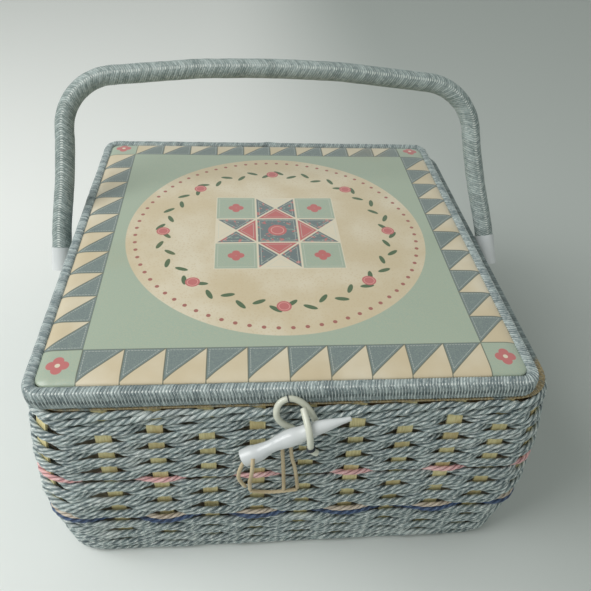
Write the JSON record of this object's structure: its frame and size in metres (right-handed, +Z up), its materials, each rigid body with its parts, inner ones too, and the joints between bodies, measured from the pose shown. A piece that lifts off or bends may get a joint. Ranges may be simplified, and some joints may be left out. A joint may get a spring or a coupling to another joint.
{
  "type": "sewing basket",
  "caption": "Square woven sewing carrier with a padded patchwork lid tied on at the back, a hooped carrying handle, a peg and loop closure, and a lift-out tray.",
  "frame": {"origin": "centre of the underside of the base board, on the surface that the basket stands on", "axes": "+Z up, -Y towards the peg and loop at the front, +X to the right as seen from the front"},
  "size_m": [0.3452, 0.335, 0.2574],
  "materials": {
    "cord": "twisted blue-grey craft cord, matt",
    "cord_navy": "twisted navy craft cord, matt",
    "cord_beige": "twisted beige craft cord, matt",
    "cord_pink": "twisted pink craft cord, matt",
    "cane": "flat tan cane splint, lightly grained",
    "board": "plain board",
    "braid": "fine blue-grey braid, matt",
    "lining": "quilted cotton over card",
    "tray": "moulded tray, satin",
    "padding": "plain wadding",
    "printed_vinyl": "printed patchwork vinyl, soft gloss",
    "vinyl_cord": "translucent vinyl cord, soft gloss",
    "core": "bent cane",
    "pale_plastic": "pale moulded plastic, worn gloss",
    "rivet": "plain rivet, satin",
    "thread": "waxed dark thread",
    "twine": "twisted beige twine"
  },
  "bodies": {
    "basket": {"base_board": "board", "foot_border": "cord", "handle_rivet_left": "rivet", "handle_rivet_right": "rivet", "hinge_ring_left": "vinyl_cord", "hinge_ring_right": "vinyl_cord", "lining_back": "lining", "lining_corners": "lining", "lining_floor": "lining", "lining_front": "lining", "lining_left": "lining", "lining_right": "lining", "rim_binding": "cane", "rim_cords": "cord", "rim_hoop": "board", "rivet_washers": "rivet", "row_beige": "cord_beige", "row_navy": "cord_navy", "row_pink": "cord_pink", "stakes": "cane", "string_front": "twine", "string_inner": "twine", "string_left": "twine", "string_right": "twine", "string_stitch": "twine", "tray_rail_left": "lining", "tray_rail_right": "lining", "weave_lower": "cord", "weave_middle": "cord", "weave_upper": "cord"},
    "lid": {"lid_braid": "braid", "lid_frame": "board", "lid_board": "board", "lid_padding": "padding", "lid_cover": "printed_vinyl", "lid_lining": "lining", "pincushion": "lining", "closure_loop": "vinyl_cord", "closure_strand": "vinyl_cord", "loop_tie": "thread"},
    "handle": {"handle_wrap": "braid", "handle_core": "core", "ferrule_left": "pale_plastic", "ferrule_right": "pale_plastic"},
    "toggle": {"toggle_peg": "pale_plastic"},
    "tray": {"tray_shell": "tray", "tray_dividers": "tray"}
  },
  "joints": [
    {"name": "lid_hinge", "type": "hinge", "parent": "basket", "child": "lid", "pos_m": [0, 0.142, 0.1494], "axis": [-1, 0, 0], "range_deg": [0, 25]},
    {"name": "handle_swing", "type": "hinge", "parent": "basket", "child": "handle", "pos_m": [0, 0, 0.12], "axis": [1, 0, 0], "range_deg": [-15, 32]},
    {"name": "toggle_slide", "type": "slide", "parent": "basket", "child": "toggle", "axis": [-0.9265, -0.1261, -0.3545], "range_m": [0, 0.034], "deforming": ["string_front", "string_left", "string_inner", "string_right"]},
    {"name": "tray_lift", "type": "slide", "parent": "basket", "child": "tray", "axis": [0, 0, 1], "range_m": [0, 0.014]}
  ]
}
